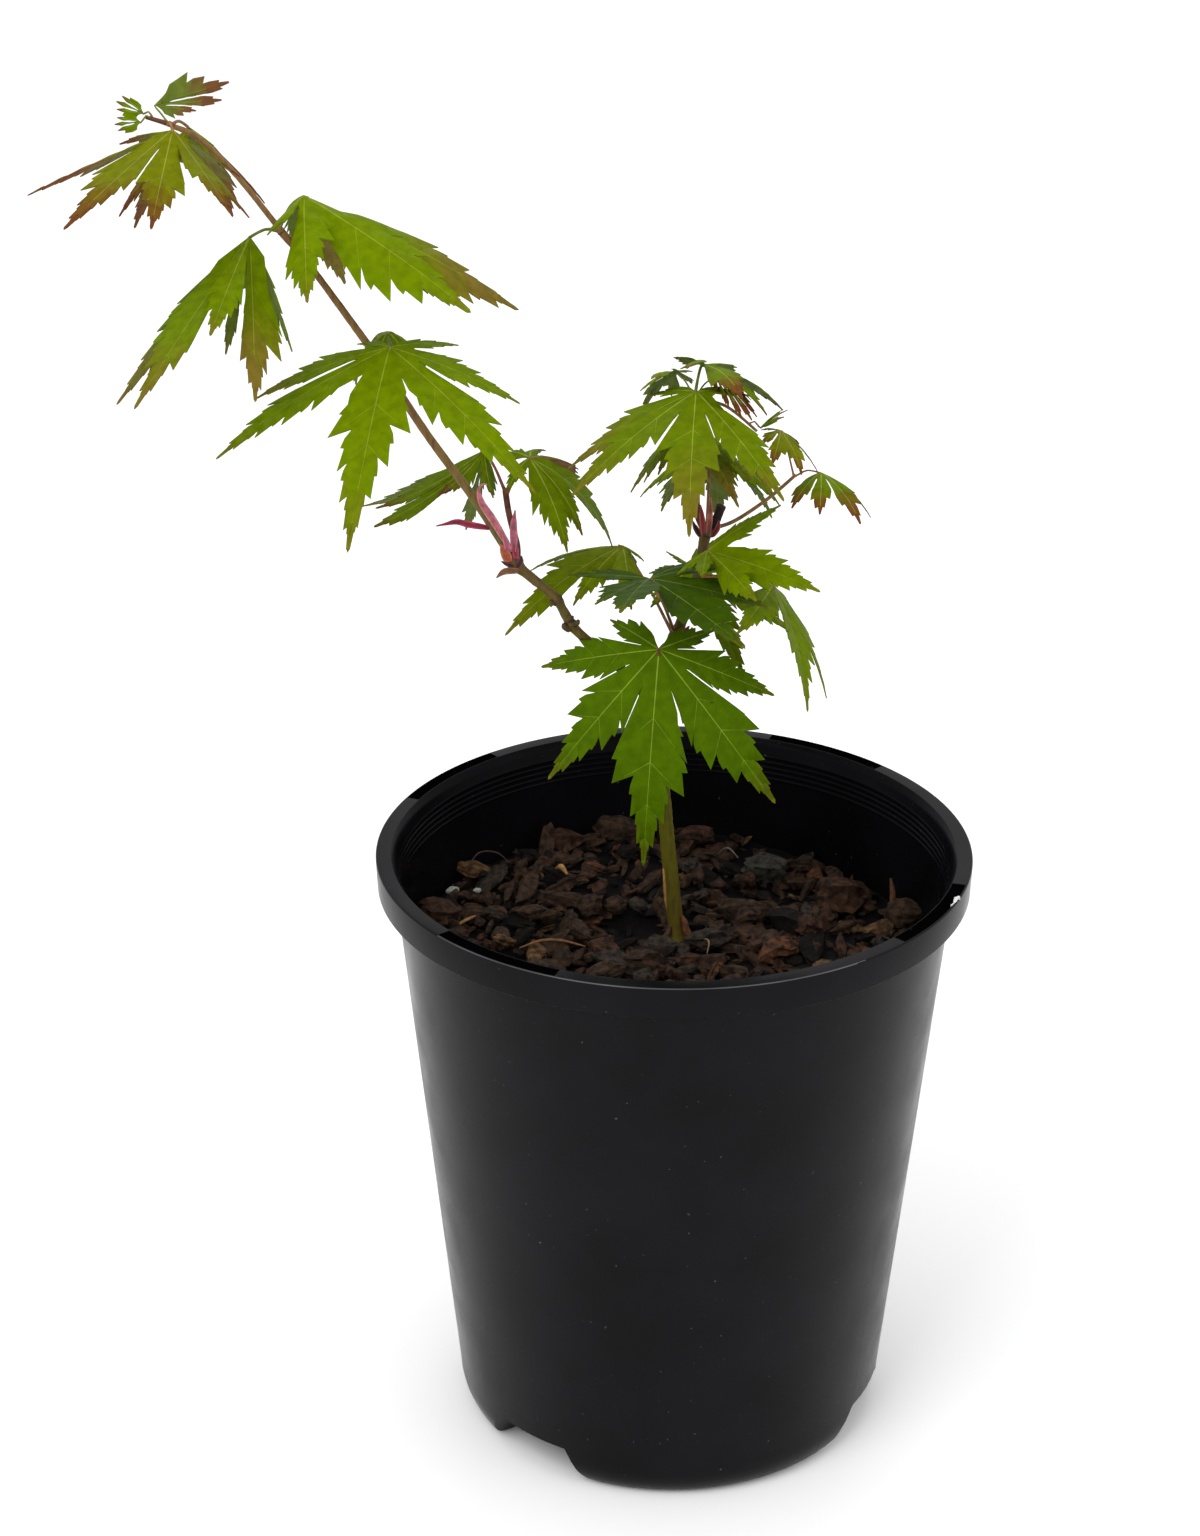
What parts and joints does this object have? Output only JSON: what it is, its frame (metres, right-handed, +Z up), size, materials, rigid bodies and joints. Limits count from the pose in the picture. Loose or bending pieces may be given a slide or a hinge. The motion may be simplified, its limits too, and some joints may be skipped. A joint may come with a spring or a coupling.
{
  "type": "potted japanese maple sapling",
  "caption": "Young Japanese maple with two boughs and palmate leaves, growing in bark mix in a round black nursery pot with a turned-down rim.",
  "frame": {"origin": "centre of the pot's flat underside", "axes": "+Z up along the pot's axis; -Y towards the front, where the large lowest leaf hangs; +X to the right, so the long bough leans to -X"},
  "size_m": [0.209, 0.14, 0.3296],
  "materials": {
    "pot_plastic": "glossy moulded black polypropylene",
    "bark_mix": "damp chipped pine bark",
    "bark": "smooth young olive-brown bark with leaf scars",
    "leaf": "matt green leaf with pale veins",
    "young_leaf": "soft young leaf, green turning red-brown at the tips"
  },
  "bodies": {
    "root": {"pot": "pot_plastic", "potting_mix": "bark_mix", "trunk": "bark", "left_bough": "bark", "right_bough": "bark", "terminal_leaves": "young_leaf", "upper_left_leaf": "leaf", "upper_right_leaf": "leaf", "middle_front_leaf": "leaf", "middle_back_leaf": "leaf", "side_shoot_leaves": "leaf", "centre_left_leaf": "leaf", "centre_flat_leaf": "leaf", "front_leaf": "leaf", "centre_right_leaf": "leaf", "low_right_leaf": "leaf", "centre_back_leaf": "leaf", "right_crown_leaves": "leaf", "right_back_leaf": "leaf", "right_shoot_leaves": "young_leaf"}
  },
  "joints": []
}
